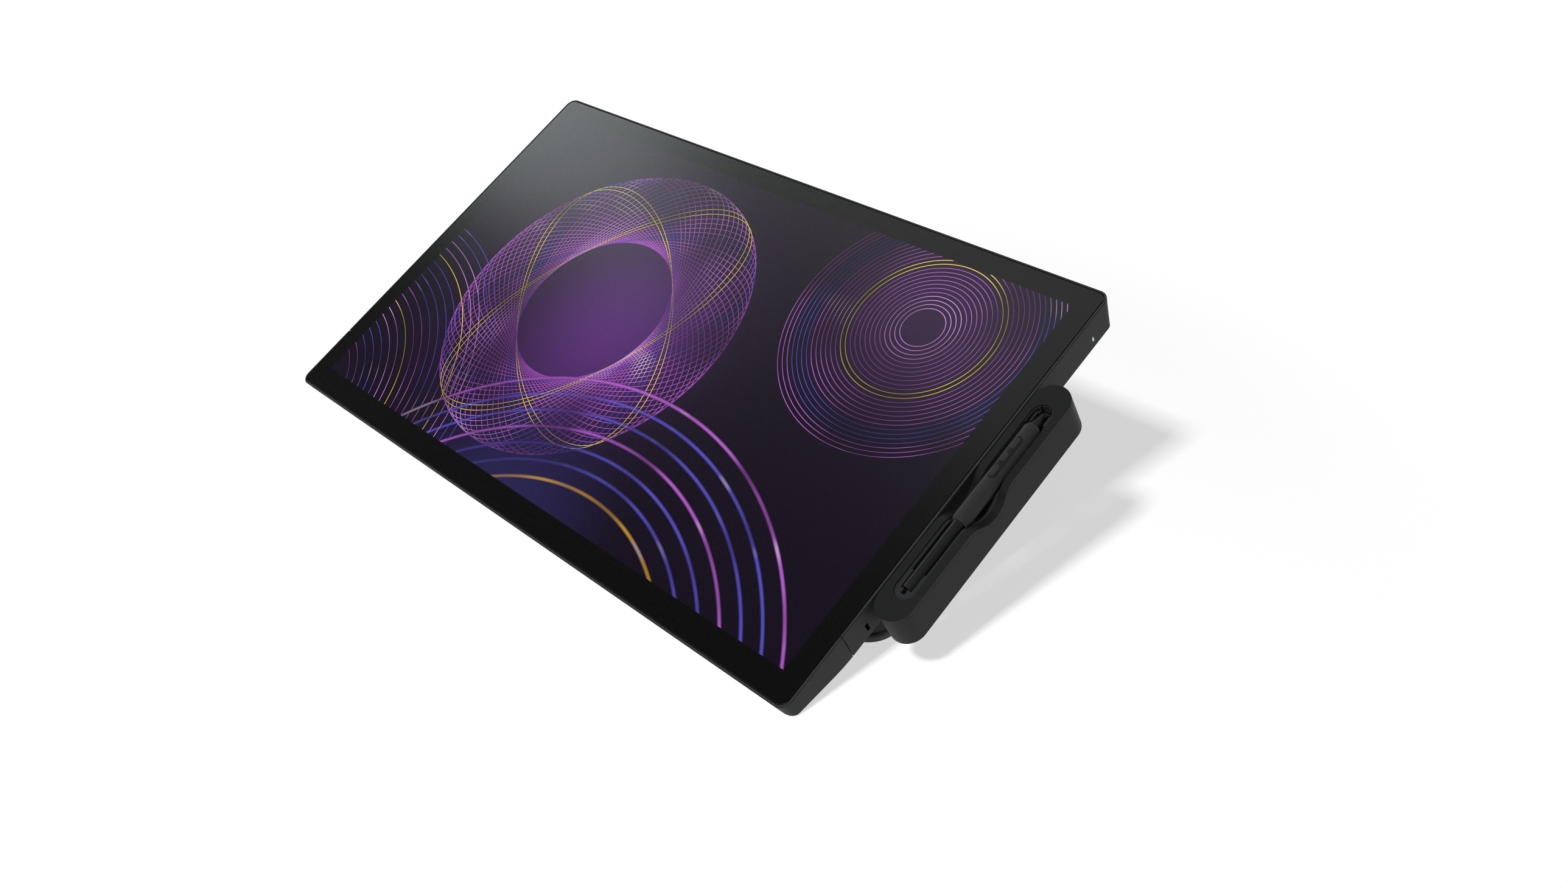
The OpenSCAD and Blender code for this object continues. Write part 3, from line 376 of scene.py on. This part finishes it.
def screen_glow(tree, spot):
    """Colour of the picture's ground at a point of the screen."""
    colour = glow_dark
    for (x, y), reach, tone in glow_spots:
        away = away_from(tree, spot, (x, y, 0.0))
        colour = mix(tree, ramp(tree, away, reach, 0.0), colour, tone)
    return colour


def inside(tree, value, half):
    """1 where value is less than half away from zero."""
    return calc(tree, "LESS_THAN", calc(tree, "ABSOLUTE", value), half)


def etched_glass(name):
    """Black-bordered cover glass with a finely etched face and the lit picture in its middle."""
    made, tree, shader, place = start(name)
    spot = screen_place(tree, place)
    axes = add(tree, "ShaderNodeSeparateXYZ", Vector=spot).outputs
    lit = on_face(tree, place)
    for axis, half in ((axes[0], lit_half_x), (axes[1], lit_half_y)):
        lit = calc(tree, "MULTIPLY", lit, inside(tree, axis, half))
    etch = noise(tree, place, 0.35 * mm, 3.0, 0.7)
    put(tree, shader.inputs["Base Color"], mottled(tree, etch, glass_black, 0.7, 1.3))
    vary_roughness(tree, shader, etch, glass_roughness + 0.05, glass_roughness - 0.05)
    put(tree, shader.inputs["Emission Color"], mix(tree, lit, black, screen_glow(tree, spot)))
    shader.inputs["Emission Strength"].default_value = 1.0
    shader.inputs["Specular IOR Level"].default_value = glass_gloss
    roughen(tree, shader, etch, 0.004 * mm)
    return made


def picture_line(name, ring_colours, softness=0.5):
    """Light of one family of lines, from full in a line's middle to the ground's at its edge."""
    made, tree, shader, place = start(name)
    spot = screen_place(tree, place)
    across = add(tree, "ShaderNodeAttribute", {"attribute_name": "across"}).outputs["Fac"]
    ring = add(tree, "ShaderNodeAttribute", {"attribute_name": "ring"}).outputs["Fac"]
    colours = tree.nodes.new("ShaderNodeValToRGB")
    colours.color_ramp.interpolation = "CONSTANT"
    stops = colours.color_ramp.elements
    for i, (share, colour) in enumerate(ring_colours):
        stop = stops[0] if i == 0 else stops.new(share)
        stop.position = share
        stop.color = colour
    stops.remove(stops[-1])
    put(tree, colours.inputs[0], ring)
    swell = ramp(tree, noise(tree, spot, swell_grain, 1.0), 0.36, 0.64, 0.22, 1.0)
    flare = ramp(tree, noise(tree, spot, flare_grain, 1.0), 0.60, 0.74, 0.0, 0.65)
    light = mix(tree, flare, colours.outputs[0], flare_colour)
    core = ramp(tree, calc(tree, "ABSOLUTE", across), 1.0, 1.0 - softness)
    amount = calc(tree, "MULTIPLY", core, swell)
    put(tree, shader.inputs["Emission Color"], mix(tree, amount, screen_glow(tree, spot), light))
    shader.inputs["Emission Strength"].default_value = 1.0
    shader.inputs["Base Color"].default_value = glass_black
    shader.inputs["Roughness"].default_value = glass_roughness
    shader.inputs["Specular IOR Level"].default_value = glass_gloss
    return made


def ring_tree():
    """Flat lines along rings that are turned and grown step by step about one middle."""
    tree = bpy.data.node_groups.new("picture_rings", "GeometryNodeTree")
    tree.interface.new_socket("Geometry", in_out="OUTPUT", socket_type="NodeSocketGeometry")
    for name, kind in (
        ("Rings", "NodeSocketInt"),
        ("Long radius", "NodeSocketFloat"),
        ("Short radius", "NodeSocketFloat"),
        ("Turn step", "NodeSocketFloat"),
        ("Growth", "NodeSocketFloat"),
        ("Line width", "NodeSocketFloat"),
        ("Finish", "NodeSocketMaterial"),
    ):
        tree.interface.new_socket(name, in_out="INPUT", socket_type=kind)
    given = tree.nodes.new("NodeGroupInput").outputs
    index = tree.nodes.new("GeometryNodeInputIndex").outputs[0]

    # One oval, set out once for each ring
    seeds = add(tree, "GeometryNodePoints", Count=given["Rings"])
    shape = add(tree, "ShaderNodeCombineXYZ",
                X=given["Long radius"], Y=given["Short radius"], Z=1.0)
    circle = add(tree, "GeometryNodeCurvePrimitiveCircle", Resolution=180, Radius=1.0)
    oval = add(tree, "GeometryNodeTransform", Geometry=circle.outputs[0], Scale=shape.outputs[0])
    turn = add(tree, "ShaderNodeCombineXYZ", Z=calc(tree, "MULTIPLY", index, given["Turn step"]))
    rotation = add(tree, "FunctionNodeEulerToRotation", Euler=turn.outputs[0])
    size = calc(tree, "ADD", 1.0, calc(tree, "MULTIPLY", index, given["Growth"]))
    sizes = add(tree, "ShaderNodeCombineXYZ", X=size, Y=size, Z=1.0)
    rings = add(
        tree, "GeometryNodeInstanceOnPoints",
        Points=seeds.outputs[0], Instance=oval.outputs[0],
        Rotation=rotation.outputs[0], Scale=sizes.outputs[0],
    )
    named = add(
        tree, "GeometryNodeStoreNamedAttribute", {"domain": "INSTANCE"},
        Geometry=rings.outputs[0], Name="ring", Value=calc(tree, "DIVIDE", index, given["Rings"]),
    )
    real = add(tree, "GeometryNodeRealizeInstances", Geometry=named.outputs[0])
    flat = add(tree, "GeometryNodeSetCurveNormal", {"mode": "Z_UP"}, Curve=real.outputs[0])

    # Width of a line, from -1 at one edge to 1 at the other
    half = calc(tree, "MULTIPLY", given["Line width"], 0.5)
    left = add(tree, "ShaderNodeCombineXYZ", X=calc(tree, "MULTIPLY", half, -1.0))
    right = add(tree, "ShaderNodeCombineXYZ", X=half)
    profile = add(tree, "GeometryNodeCurvePrimitiveLine",
                  Start=left.outputs[0], End=right.outputs[0])
    edged = add(
        tree, "GeometryNodeStoreNamedAttribute", {"domain": "POINT"},
        Geometry=profile.outputs[0], Name="across",
        Value=calc(tree, "SUBTRACT", calc(tree, "MULTIPLY", index, 2.0), 1.0),
    )

    ribbons = add(tree, "GeometryNodeCurveToMesh",
                  Curve=flat.outputs[0], Profile_Curve=edged.outputs[0])
    joined = add(tree, "GeometryNodeRealizeInstances", Geometry=ribbons.outputs[0])
    finished = add(tree, "GeometryNodeSetMaterial",
                   Geometry=joined.outputs[0], Material=given["Finish"])
    tree.links.new(finished.outputs[0], tree.nodes.new("NodeGroupOutput").inputs[0])
    return tree


rings_tree = ring_tree()


def cut_to_screen(shape, middle):
    """Ends a ribbon mesh at the edge of the lit area and gives it a little depth."""
    for axis, half in ((0, lit_half_x), (1, lit_half_y)):
        for side in (-1, 1):
            edge = Vector((0, 0, 0))
            edge[axis] = side * half - middle[axis]
            out = Vector((0, 0, 0))
            out[axis] = side
            everything = shape.verts[:] + shape.edges[:] + shape.faces[:]
            bmesh.ops.bisect_plane(
                shape, geom=everything, plane_co=edge, plane_no=out, clear_outer=True)
    bmesh.ops.solidify(shape, geom=shape.faces[:], thickness=line_depth)
    bmesh.ops.recalc_face_normals(shape, faces=shape.faces[:])
    for face in shape.faces:
        face.smooth = False


def picture_rings(name, middle, finish, **sizes):
    """One family of lines on the screen, as a plain mesh that rides on the display."""
    holder = bpy.data.objects.new(name, bpy.data.meshes.new(name))
    bpy.context.scene.collection.objects.link(holder)
    maker = holder.modifiers.new("rings", "NODES")
    maker.node_group = rings_tree
    sockets = {s.name: s.identifier for s in rings_tree.interface.items_tree if s.in_out == "INPUT"}
    for key, value in sizes.items():
        maker[sockets[key.replace("_", " ")]] = value
    maker[sockets["Finish"]] = finish
    seen = holder.evaluated_get(bpy.context.evaluated_depsgraph_get())
    mesh = bpy.data.meshes.new_from_object(seen)
    holder.modifiers.remove(maker)
    shape = bmesh.new()
    shape.from_mesh(mesh)
    cut_to_screen(shape, middle)
    shape.to_mesh(mesh)
    shape.free()
    mesh.transform(display @ Matrix.Translation((middle[0], middle[1], line_lift)))
    mesh.name = name
    holder.data = mesh
    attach(holder, "display")


violet = (0.42, 0.105, 0.56, 1.0)
lilac = (0.60, 0.26, 0.72, 1.0)
blue = (0.085, 0.070, 0.46, 1.0)
yellow = (0.92, 0.72, 0.075, 1.0)
amber = (0.95, 0.50, 0.045, 1.0)
rosette_light = picture_line("rosette_light", (
    (0.0, violet), (0.16, blue), (0.22, violet), (0.30, yellow), (0.34, lilac),
    (0.5, violet), (0.66, blue), (0.74, yellow), (0.78, violet)))
ripple_light = picture_line("ripple_light", (
    (0.0, lilac), (0.12, violet), (0.42, yellow), (0.48, violet), (0.7, blue), (0.86, violet)))
corner_light = picture_line("corner_light", (
    (0.0, violet), (0.1, blue), (0.26, lilac), (0.32, yellow), (0.38, violet),
    (0.5, blue), (0.72, yellow), (0.78, lilac), (0.86, blue)))
broad_light = picture_line("broad_light", (
    (0.0, amber), (0.14, blue), (0.3, violet), (0.46, blue), (0.8, violet)), softness=0.9)
rosette_rings = 44
picture_rings(
    "rosette_lines", (-0.085, 0.000), rosette_light, Rings=rosette_rings, Long_radius=0.150,
    Short_radius=0.074, Turn_step=math.pi / rosette_rings, Growth=0.0, Line_width=0.75 * mm)
picture_rings(
    "ripple_lines", (0.205, 0.105), ripple_light, Rings=26, Long_radius=0.018,
    Short_radius=0.018, Turn_step=0.0, Growth=0.22, Line_width=0.8 * mm)
picture_rings(
    "corner_lines", (-0.335, -0.215), corner_light, Rings=19, Long_radius=0.080,
    Short_radius=0.080, Turn_step=0.0, Growth=0.105, Line_width=0.85 * mm)
picture_rings(
    "broad_lines", (0.060, -0.330), broad_light, Rings=7, Long_radius=0.190,
    Short_radius=0.190, Turn_step=0.0, Growth=0.085, Line_width=4.2 * mm)

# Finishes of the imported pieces

charcoal = (0.0117, 0.0120, 0.0125, 1.0)
soot = (0.0075, 0.0075, 0.0078, 1.0)
graphite = (0.0150, 0.0154, 0.0160, 1.0)
slate = (0.0260, 0.0270, 0.0287, 1.0)
# Paler grey painted on the housing's rim beside the glass, a painted highlight
rim_highlight_slate = (0.044, 0.045, 0.047, 1.0)
soft_grey = (0.0262, 0.0265, 0.0270, 1.0)
plate_grey = (0.0100, 0.0102, 0.0106, 1.0)
rubber_black = (0.018, 0.018, 0.018, 1.0)
cell_black = (0.01, 0.008, 0.014, 1.0)
sheet_white = (0.82, 0.83, 0.85, 1.0)
aluminium = (0.56, 0.57, 0.59, 1.0)
dark_metal = (0.10, 0.10, 0.105, 1.0)
bright_metal = (0.52, 0.53, 0.55, 1.0)
copper = (0.50, 0.22, 0.09, 1.0)
sensor_mask = (0.01, 0.05, 0.03, 1.0)
sensor_copper = (0.30, 0.16, 0.06, 1.0)
mask_green = (0.012, 0.075, 0.035, 1.0)
track_green = (0.05, 0.16, 0.06, 1.0)
lamp_white = (0.90, 0.95, 1.0, 1.0)
outer_edge = 0.7 * mm


def dress(finish, *names):
    """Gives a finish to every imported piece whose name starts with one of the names."""
    for name, piece in nodes.items():
        if name.startswith(names):
            piece.material_slots[0].material = finish


# The housing's rim level with the glass carries a painted highlight in a paler grey
housing_plastic = moulded_plastic(
    "housing_plastic", slate, 0.52, edge=outer_edge, gloss=0.09, rim_highlight_colour=rim_highlight_slate)
dress(housing_plastic, "rear_cover", "front_cover")
tray_plastic = moulded_plastic("tray_plastic", charcoal, 0.54, edge=outer_edge)
dress(tray_plastic, "tray_shell", "tray_top", "tray_floor")
dress(moulded_plastic("liner_plastic", slate, 0.5), "tray_liner")
key_plastic = moulded_plastic("key_plastic", slate, 0.46)
dress(key_plastic, "rear_key", "power_button", "touch_switch", "vent_grille")
dress(moulded_plastic("fan_plastic", soot, 0.4), "fan_case", "fan_rotor")
dress(etched_glass("etched_glass"), "cover_glass")
dress(moulded_plastic("cell_glass", cell_black, 0.2), "lcd_cell")
dress(milky_sheet("light_sheet", sheet_white), "light_panel")
dress(circuit_board("sensor_tracks", sensor_mask, sensor_copper), "sensor_board")
board_mask = circuit_board("board_mask", mask_green, track_green)
dress(board_mask, "main_board", "power_board", "key_board", "switch_board", "pen_board")
pressed_aluminium = rolled_metal("pressed_aluminium", aluminium, 0.42)
dress(pressed_aluminium, "shield_sheet", "chassis_tray", "heat_sink")
dark_steel = rolled_metal("dark_steel", dark_metal, 0.46)
dress(dark_steel, "hinge_bracket", "head_plate", "tray_bracket")
dress(dark_steel, "cover_screws", "bracket_screws", "plate_screws")
dress(rolled_metal("bright_steel", bright_metal, 0.3), "base_pin", "head_pin", "port_block")
dress(powder_coat("stand_paint", slate, 0.5), "base_casting", "arm_beam")
dress(rubber("foot_rubber", rubber_black), "base_feet", "nib_holder", "hinge_washers")
# The plate's name starts as the buttons' names do, so its own finish comes after theirs
dress(soft_touch("grip_coat", soft_grey, 0.6), "pen_grip", "pen_button")
dress(soft_touch("plate_coat", plate_grey, 0.5), "pen_button_plate")
pen_plastic = moulded_plastic("pen_plastic", graphite, 0.36, grain=0.3 * mm, depth=0.006 * mm)
dress(pen_plastic, "pen_nose", "pen_shaft")
dress(moulded_plastic("nib_plastic", soot, 0.5), "pen_nib", "spare_nibs")
dress(wound_copper("coil_wire", copper), "pen_coil")
dress(lamp_glow("status_glow", lamp_white, 0.32), "status_light")

# Floor, light and camera

floor_half = 4.0
floor_drop = 0.1 * mm
floor_colour = (0.84, 0.84, 0.84, 1.0)
floor_lift = 0.60
# Middle of the ground that shows the shadow, and the radii between which it runs out to white
shadow_middle = (0.06, -0.14, 0.0)
fade_start = 0.38
fade_end = 0.60
# Light of the room at the horizon and overhead, and the sine of the height from which it is dim
room_bright = 0.85
room_dim = 0.07
room_dim_height = 0.36
# Share of that light that comes from the left, and the x of the directions between which it grows
room_left_share = 0.25
room_left = -0.5
room_right = 0.3
# Sines of the heights above the horizon to which the backdrop is plain white and where it ends
backdrop_top = 0.30
backdrop_end = 0.34


def seen_rays(tree):
    """1 for rays from the camera and for those that a glossy or clear surface sends on."""
    rays = tree.nodes.new("ShaderNodeLightPath").outputs
    direct = calc(tree, "MAXIMUM", rays["Is Camera Ray"], rays["Is Glossy Ray"])
    return calc(tree, "MAXIMUM", direct, rays["Is Transmission Ray"])


def white_floor():
    """White ground that keeps the object's shadow near it and runs out to plain white."""
    made, tree, shader, place = start("white_floor")
    tree.nodes.remove(shader)
    ground = add(tree, "ShaderNodeBsdfDiffuse", Color=floor_colour).outputs[0]
    lift = add(tree, "ShaderNodeEmission", Color=white, Strength=floor_lift).outputs[0]
    plain = add(tree, "ShaderNodeEmission", Color=white, Strength=1.0).outputs[0]
    lifted = tree.nodes.new("ShaderNodeAddShader")
    put(tree, lifted.inputs[0], ground)
    put(tree, lifted.inputs[1], lift)
    away = away_from(tree, place, shadow_middle)
    seen = mix_shaders(tree, ramp(tree, away, fade_start, fade_end), lifted.outputs[0], plain)
    final = mix_shaders(tree, seen_rays(tree), ground, seen)
    put(tree, tree.nodes["Material Output"].inputs[0], final)
    return made


def studio_world():
    """White room: a white backdrop all round, light from low down and the right, dim overhead."""
    world = bpy.data.worlds.new("studio")
    world.use_nodes = True
    bpy.context.scene.world = world
    tree = world.node_tree
    way = tree.nodes.new("ShaderNodeTexCoord").outputs["Generated"]
    parts = add(tree, "ShaderNodeSeparateXYZ", Vector=way).outputs
    level = ramp(tree, parts["Z"], 0.0, room_dim_height, room_bright, room_dim)
    sides = ramp(tree, parts["X"], room_left, room_right, room_left_share, 1.0)
    low_down = ramp(tree, parts["Z"], backdrop_end, backdrop_top)
    backdrop = calc(tree, "MULTIPLY", seen_rays(tree), low_down)
    strength = calc(tree, "MAXIMUM", calc(tree, "MULTIPLY", level, sides), backdrop)
    put(tree, tree.nodes["Background"].inputs["Color"], white)
    put(tree, tree.nodes["Background"].inputs["Strength"], strength)


bpy.ops.mesh.primitive_plane_add(size=2 * floor_half, location=(0, 0, cad_low.z - floor_drop))
floor = bpy.context.object
floor.name = "floor"
floor.data.materials.append(white_floor())
studio_world()

light_target_height = 0.10
light_target = Vector((0, (cad_low.y + cad_high.y) / 2, light_target_height))
spared = bpy.data.collections.new("floor_spared_by_fills")
spared.objects.link(floor)
spared.collection_objects[0].light_linking.link_state = "EXCLUDE"


def soft_light(name, toward, distance, width, height, watts, colour=white,
               fill=False, gleam=True, glow=True):
    """Area light in the direction toward from the object, facing it.

    A fill leaves the floor alone, so that it casts no shadow there. Without gleam a light isn't
    reflected, and without glow it is only reflected.
    """
    lamp = bpy.data.lights.new(name, "AREA")
    lamp.shape = "RECTANGLE"
    lamp.size = width
    lamp.size_y = height
    lamp.energy = watts
    lamp.color = colour[:3]
    holder = bpy.data.objects.new(name, lamp)
    holder.location = light_target + Vector(toward).normalized() * distance
    holder.rotation_euler = (-Vector(toward)).to_track_quat("-Z", "Y").to_euler()
    holder.visible_glossy = gleam
    holder.visible_diffuse = glow
    if fill:
        holder.light_linking.receiver_collection = spared
    bpy.context.scene.collection.objects.link(holder)


window_white = (0.92, 1.0, 1.0, 1.0)
soft_light("front_key", (0.15, -0.67, 0.73), 6.0, 0.62, 0.62, 210)
soft_light("rear_fill", (0.35, 0.62, 0.70), 2.5, 1.2, 1.0, 12, fill=True)
soft_light("left_window", (-0.84, 0.10, 0.54), 1.7, 0.5, 0.6, 3.2, window_white, fill=True)
soft_light("rear_low", (-0.30, 0.88, 0.28), 1.8, 1.0, 0.5, 26, fill=True, gleam=False)
soft_light("left_low", (-0.92, -0.12, 0.25), 1.8, 0.5, 0.5, 16, fill=True, gleam=False)
soft_light("back_panel", (-0.38, 0.32, 0.87), 1.8, 1.5, 1.5, 6.2, glow=False)

lens = bpy.data.cameras.new("photo_camera")
lens.lens = camera_lens
lens.sensor_width = camera_sensor
lens.clip_start = 0.01
lens.clip_end = 50.0
camera = bpy.data.objects.new("photo_camera", lens)
camera.location = camera_spot
camera.rotation_euler = (math.pi / 2 - camera_dip, 0, camera_heading)
bpy.context.scene.collection.objects.link(camera)
bpy.context.scene.camera = camera
bpy.context.scene.view_settings.view_transform = "Standard"
